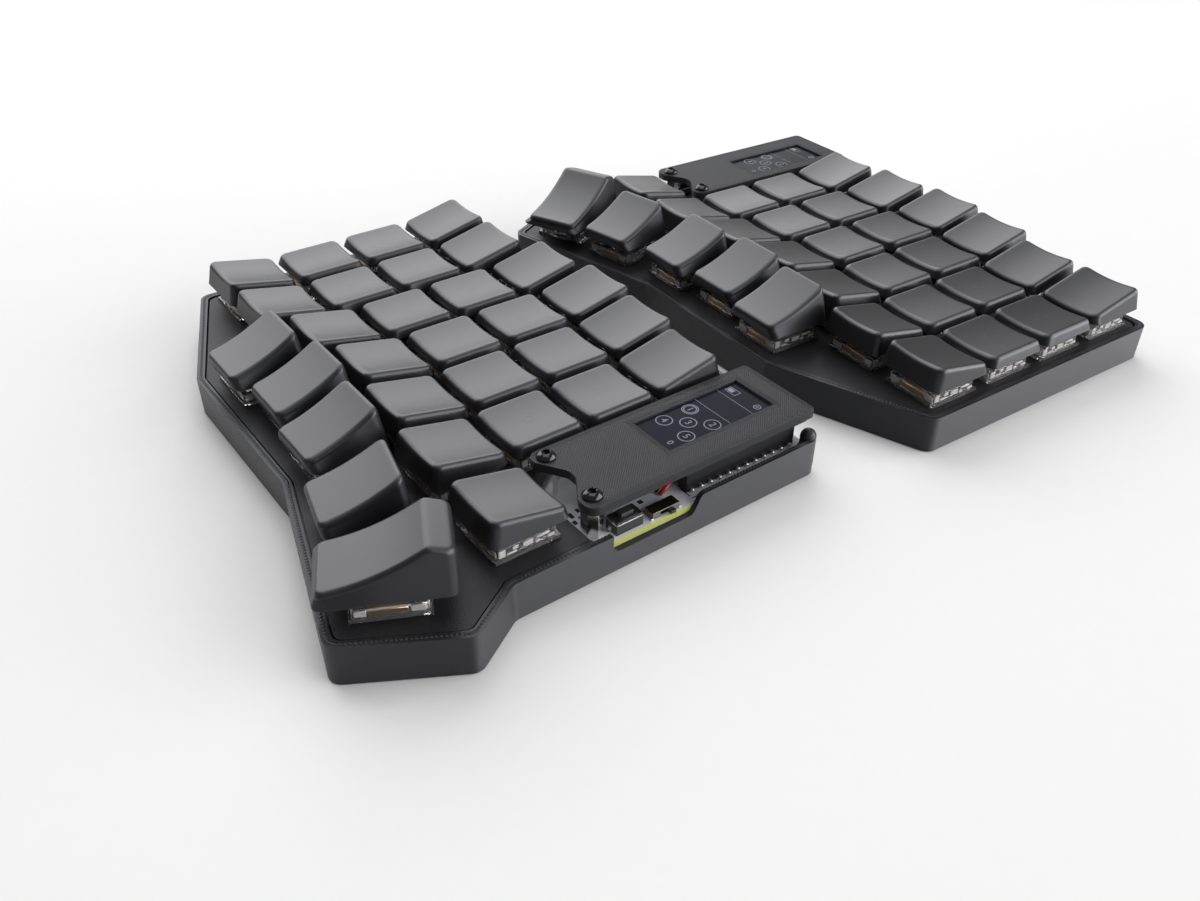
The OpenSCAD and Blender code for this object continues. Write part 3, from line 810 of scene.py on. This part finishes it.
# Reset switches: small black switches at the board's edge, held together by a bright
# frame, with a leg at each end and a dark grey button that presses down.
box_look = moulded(
    "black_switch_body", grey(0.014), grey(0.024), rough=0.35, grain=0.0004, depth=0.00001,
)
steel_look = metal("switch_frame", grey(0.74, 1.0), grey(0.88, 1.0), rough=0.28, streak=0.001)
reset_x, reset_y = 126.125, -33.225
leg_x = reset_x - 0.4
band_z = board_z + 2.28
lid_z = board_z + 2.5
lip_z = board_z + 3.0
reset_body = bmesh.new()
block(reset_body, (3.6, 6.6, 2.3), (reset_x, reset_y, board_z), 0.1)
block(reset_body, (3.45, 6.45, 0.6), (reset_x, reset_y, lid_z), 0.15)
for end in (-1, 1):
    block(reset_body, (2.6, 0.5, 0.2), (reset_x, reset_y + end * 1.9, lip_z), 0.08)
    block(reset_body, (0.5, 3.4, 0.2), (reset_x + end * 1.3, reset_y, lip_z), 0.08)
show(on_both(reset_body), "reset_boxes", "keyboard", "switch_body", box_look, "reset_switch_bodies")
reset_frame = bmesh.new()
for end in (-1, 1):
    block(reset_frame, (3.64, 0.4, 0.25), (reset_x, reset_y + end * 3.12, band_z), 0.06)
    block(reset_frame, (0.4, 6.64, 0.25), (reset_x + end * 1.62, reset_y, band_z), 0.06)
    block(reset_frame, (1.0, 1.0, 0.3), (leg_x, reset_y + end * 3.6, board_z), 0.1)
    block(reset_frame, (0.8, 0.25, 1.2), (leg_x, reset_y + end * 3.35, board_z), 0.08)
show(on_both(reset_frame), "reset_frames", "keyboard", "switch_body", steel_look)
button_look = moulded(
    "grey_button", grey(0.03, 1.0), grey(0.045, 1.0), rough=0.35, grain=0.0004, depth=0.00001,
)
button_edge = 0.00015
for side in sides:
    node = f"reset_button_{side}"
    show(softened(node, button_edge), f"button_cap_{side}", node, "button", button_look, node)


# Power switches: low metal shells with bright feet, and a black slider that sticks out
# through the notch and slides along the case.
shell_look = metal(
    "bronze_shell", (0.20, 0.18, 0.16, 1), (0.30, 0.28, 0.25, 1), rough=0.3, streak=0.001,
)
power_x, power_y = 126.825, -24.225
roof_z = board_z + 1.25
shell = bmesh.new()
block(shell, (2.8, 7, 0.35), (power_x, power_y, roof_z), 0.12)
block(shell, (2.5, 6.7, 0.4), (power_x, power_y, board_z), 0.05)
for end in (-1, 1):
    block(shell, (2.7, 2.0, 1.4), (power_x, power_y + end * 2.45, board_z), 0.1)
block(shell, (1.2, 6.6, 1.4), (power_x - 0.75, power_y, board_z), 0.1)
show(on_both(shell), "power_shells", "keyboard", "switch_body", shell_look, "power_switch_bodies")
feet = bmesh.new()
for end in (-1, 1):
    for out in (-1.35, 1.25):
        block(feet, (0.5, 0.7, 0.45), (power_x + out, power_y + end * 3.6, board_z), 0.1)
show(on_both(feet), "power_feet", "keyboard", "switch_body", solder_look)
slider_edge = 0.00012
for side in sides:
    node = f"power_slider_{side}"
    show(softened(node, slider_edge), f"slider_knob_{side}", node, "slider", box_look, node)


# Standoffs: hexagonal nickel-plated pillars between the boards and the display covers,
# two to a half, with slightly broken edges.
screw_xs = (108.575, 124.175)
screw_y = -39.825
pillar_r = 2.3
pillar_h = 7.3
pillar_edge = 0.12


def screw_places(z):
    """The places of the screws and standoffs in both halves, at a height."""
    spots = [Matrix.Translation((x, screw_y, z)) for x in screw_xs]
    return [half @ spot for half in halves.values() for spot in spots]


pillar = bmesh.new()
bmesh.ops.create_cone(
    pillar, cap_ends=True, segments=6, radius1=pillar_r, radius2=pillar_r, depth=pillar_h,
)
twelfth = Matrix.Rotation(math.radians(30), 3, "Z")
bmesh.ops.rotate(pillar, matrix=twelfth, verts=pillar.verts)
bmesh.ops.translate(pillar, vec=(0, 0, pillar_h / 2), verts=pillar.verts)
rounded(pillar, pillar.edges[:], pillar_edge)
standoff_look = metal(
    "nickel_standoff", (0.80, 0.78, 0.74, 1), (0.90, 0.88, 0.84, 1), rough=0.14, streak=0.002,
)
pillars = gathered(pillar, screw_places(board_z))
show(pillars, "hex_standoffs", "keyboard", "standoff", standoff_look, "standoffs")


# Display panels: dark glass under the covers, showing plain numbers in rings and a few
# pale outlines. They read the same way round on both halves.
panel_z = 15.4
window_x, window_y = 115.375, -3.8
sign_rise = 0.02
sign_line = 0.22
bar_t = 0.01


def glass_looks(tap):
    haze = tap.noise(0.006, 3.0)
    return {
        "Base Color": tap.shade(haze, (0.010, 0.011, 0.019, 1), (0.014, 0.015, 0.025, 1)),
        "Roughness": 0.2 + 0.06 * haze,
        "Normal": tap.bump(haze, 0.00001),
    }


glass_look = finish("display_glass", {"Specular IOR Level": 0.03}, glass_looks)
dress("display_panels", glass_look)

signs = bmesh.new()


def sign_at(x, y, rise):
    """A point over the glass, measured from the window's middle."""
    return (window_x + x, window_y + y, panel_z + rise)


def ring(radius, width, x, y, points=28):
    """A flat ring on the glass."""
    made = bmesh.ops.create_circle(signs, segments=points, radius=radius)["verts"]
    grown = bmesh.ops.extrude_edge_only(signs, edges=edges_at(made))["geom"]
    inner = [g for g in grown if isinstance(g, bmesh.types.BMVert)]
    share = 1 - width / radius
    bmesh.ops.scale(signs, vec=(share, share, 1), verts=inner)
    bmesh.ops.translate(signs, vec=sign_at(x, y, sign_rise), verts=made + inner)


def bar(wide, long, x, y):
    """A flat bar on the glass."""
    block(signs, (wide, long, bar_t), sign_at(x, y, bar_t))


def digit(figure, size, x, y):
    """A plain number on the glass."""
    letters = bpy.data.curves.new("figure", "FONT")
    letters.body = figure
    letters.size = size
    letters.align_x = "CENTER"
    letters.align_y = "CENTER"
    holder = bpy.data.objects.new("figure", letters)
    flat = bpy.data.meshes.new_from_object(holder)
    before = len(signs.verts)
    signs.from_mesh(flat)
    signs.verts.ensure_lookup_table()
    bmesh.ops.translate(signs, vec=sign_at(x, y, sign_rise), verts=signs.verts[before:])
    bpy.data.objects.remove(holder)
    bpy.data.curves.remove(letters)
    bpy.data.meshes.remove(flat)


for figure, x, y in (
    ("1", -3.6, -0.8), ("2", 3.6, -0.8), ("3", 0, -4.4), ("4", -3.6, -8.0), ("5", 3.6, -8.0),
):
    ring(1.9, sign_line, x, y)
    digit(figure, 2.4, x, y)
ring(1.5, sign_line, -3.6, -0.8)
digit("0", 2.2, 3.4, -12.2)
for line_y in (2.6, 9.0):
    bar(12, 0.12, 0, line_y)
icon_y = 11.5
for side_y in (10.6, 12.4):
    bar(3.2, 0.16, -3.6, side_y)
for side_x in (-5.2, -2.0):
    bar(0.16, 1.9, side_x, icon_y)
bar(1.7, 1.2, -4.1, icon_y)
ring(0.9, sign_line, 4.2, icon_y)
ring(0.35, 0.15, 4.2, icon_y, points=12)


def sign_looks(tap):
    fade = tap.noise(0.003)
    return {
        "Base Color": tap.shade(fade, (0.20, 0.22, 0.27, 1), (0.26, 0.28, 0.34, 1)),
        "Roughness": 0.4 + 0.1 * fade,
    }


sign_look = finish("pale_display_marks", {"Specular IOR Level": 0.15}, sign_looks)
window_middle = Matrix.Translation((window_x, 0, 0))
unmirrored = window_middle @ mirror @ window_middle.inverted()
sign_places = [halves["left"], halves["right"] @ unmirrored]
show(gathered(signs, sign_places), "display_marks", "keyboard", "panel", sign_look)


# Display covers: printed plates over the bays, held by the standoffs, with a window for
# the display, a thin lip round it and a curved recess between the two screw tabs.
window_w = 12
window_l = 29
cover_half_w = 11.2
cover_off = 1.5
cover_far = 20.8
line_step = 0.45
ring_width = 3 * line_step
ring_relief = 0.45
slant_relief = 0.18
cover_edge = 0.00022


def cover_lines(tap):
    """Rings of lines round the window and along the edges, slanting lines between them."""
    spot = tap.add("UVMap", {"uv_map": "plan"}, {})
    x, y = tap.part(spot, "X"), tap.part(spot, "Y")
    beside = tap.maths("ABSOLUTE", x) - window_w / 2
    from_window = tap.maths("MAXIMUM", beside, tap.maths("ABSOLUTE", y) - window_l / 2)
    from_side = cover_half_w - tap.maths("ABSOLUTE", x - cover_off)
    from_edge = tap.maths("MINIMUM", from_side, cover_far - y)
    near = tap.maths("MINIMUM", from_window, from_edge)
    ringed = tap.maths("LESS_THAN", near, ring_width)
    rings = tap.maths("SINE", near * (2 * math.pi / line_step))
    slant = tap.maths("SINE", (x + y) * (math.sqrt(2) * math.pi / line_step))
    return rings * ringed * ring_relief + slant * (1 - ringed) * slant_relief


cover_look = printed(
    "printed_cover", level=0.012, rough=0.5, gloss=0.42, pebble=0.0004, depth=0.00012,
    lines=cover_lines,
)
for side in sides:
    cover = softened(f"display_cover_{side}", cover_edge)
    mapped(cover, Matrix.Translation((-window_x, -window_y, 0)) @ halves[side].inverted())
    show(cover, f"printed_cover_{side}", "keyboard", "cover", cover_look, f"display_cover_{side}")


# Screws: black steel button heads with a hexagon socket hold the covers, and flat heads
# hold the boards from below. Both run into the standoffs, which they pull together.
head_r = 2.1
dome_r = 2.56
dome_low = -1.11
shank_r = 0.95
socket_r = 0.95
socket_flat = 0.82
socket_break = 0.06
socket_depth = 0.8
head_break = 0.1
button_reach = 4.6
flat_h = 1.1
flat_break = 0.2
flat_reach = 4.2
cover_top = 16.0
board_low = 5.1

dome = []
dome_steps = 6
for step in range(dome_steps + 1):
    out = head_r + (socket_r - head_r) * step / dome_steps
    dome.append((out, dome_low + math.sqrt(dome_r**2 - out**2)))
shank = [(0, -button_reach), (shank_r, -button_reach), (shank_r, 0)]
button = lathed(shank + [(head_r - head_break, 0), (head_r, head_break)] + dome)
socket_top = dome[-1][1]
open_edges = [e for e in button.edges if e.is_boundary]
for drop in (socket_break, socket_depth):
    grown = bmesh.ops.extrude_edge_only(button, edges=open_edges)["geom"]
    open_edges = [g for g in grown if isinstance(g, bmesh.types.BMEdge)]
    for v in (g for g in grown if isinstance(g, bmesh.types.BMVert)):
        around = math.atan2(v.co.y, v.co.x)
        reach = socket_flat / math.cos((around + math.pi / 6) % (math.pi / 3) - math.pi / 6)
        v.co = (reach * math.cos(around), reach * math.sin(around), socket_top - drop)
bmesh.ops.holes_fill(button, edges=[e for e in button.edges if e.is_boundary])
bmesh.ops.recalc_face_normals(button, faces=button.faces)
flat_screw = lathed((
    (0, -flat_h), (head_r - flat_break, -flat_h), (head_r, flat_break - flat_h), (head_r, 0),
    (shank_r, 0), (shank_r, flat_reach), (0, flat_reach),
))
cover_screws = gathered(button, screw_places(cover_top))
board_screws = gathered(flat_screw, screw_places(board_low))
screw_look = moulded(
    "black_screw", grey(0.004), grey(0.007), rough=0.14, grain=0.0006, depth=0.00001, specular=0.8,
)
screws = joined([cover_screws, board_screws])
show(screws, "black_screws", "keyboard", "screw", screw_look, "screws")


# Studio: a plain pale table, soft panels of light on the left, on the right and above, a
# low strip on the right, and the camera.
table_reach = 3
world_strength = 0.15


def table_looks(tap):
    grain = tap.noise(0.004, 3.0)
    return {
        "Base Color": tap.shade(grain, grey(0.83, 1.0), grey(0.85, 1.0)),
        "Roughness": 0.55 + 0.1 * grain,
    }


table = bmesh.new()
bmesh.ops.create_grid(table, x_segments=1, y_segments=1, size=table_reach)
table_mesh = bpy.data.meshes.new("table")
table.to_mesh(table_mesh)
table.free()
table_mesh.materials.append(finish("pale_table", {}, table_looks))
table_piece = placed("table", table_mesh)


def lamp(name, at, width, height, power):
    """A soft panel that looks at the middle of the keyboard."""
    light = bpy.data.lights.new(name, "AREA")
    light.shape = "RECTANGLE"
    light.size = width
    light.size_y = height
    light.energy = power
    holder = placed(name, light)
    holder.location = at
    holder.rotation_euler = (-Vector(at)).to_track_quat("-Z", "Y").to_euler()


lamp("left_panel", (-1.16, 0.25, 0.92), width=2.2, height=1.3, power=21)
lamp("right_panel", (1.3, 1.15, 0.68), width=3.0, height=1.4, power=40)
lamp("low_strip", (1.25, 0.95, 0.14), width=1.8, height=0.26, power=13)
lamp("top_panel", (-0.1, 0.1, 1.45), width=1.3, height=1.3, power=7)

world = bpy.data.worlds.new("studio")
world.use_nodes = True
backdrop = world.node_tree.nodes["Background"].inputs
backdrop["Color"].default_value = grey(1.0, 1.0)
backdrop["Strength"].default_value = world_strength
bpy.context.scene.world = world

lens = bpy.data.cameras.new("camera")
lens.sensor_width = 36
lens.lens = 32.588
camera = placed("camera", lens)
across = Vector((0.59735, 0.80191, 0.01092))
ahead = Vector((-0.64684, 0.48980, -0.58455)).normalized()
up = across.cross(ahead).normalized()
turn = Matrix((ahead.cross(up), up, -ahead)).transposed().to_4x4()
camera_at = halves["left"] @ Vector((255.114, -137.224, 144.21))
camera.matrix_world = Matrix.Translation(camera_at) @ turn
bpy.context.scene.camera = camera
bpy.context.scene.view_settings.view_transform = "Standard"
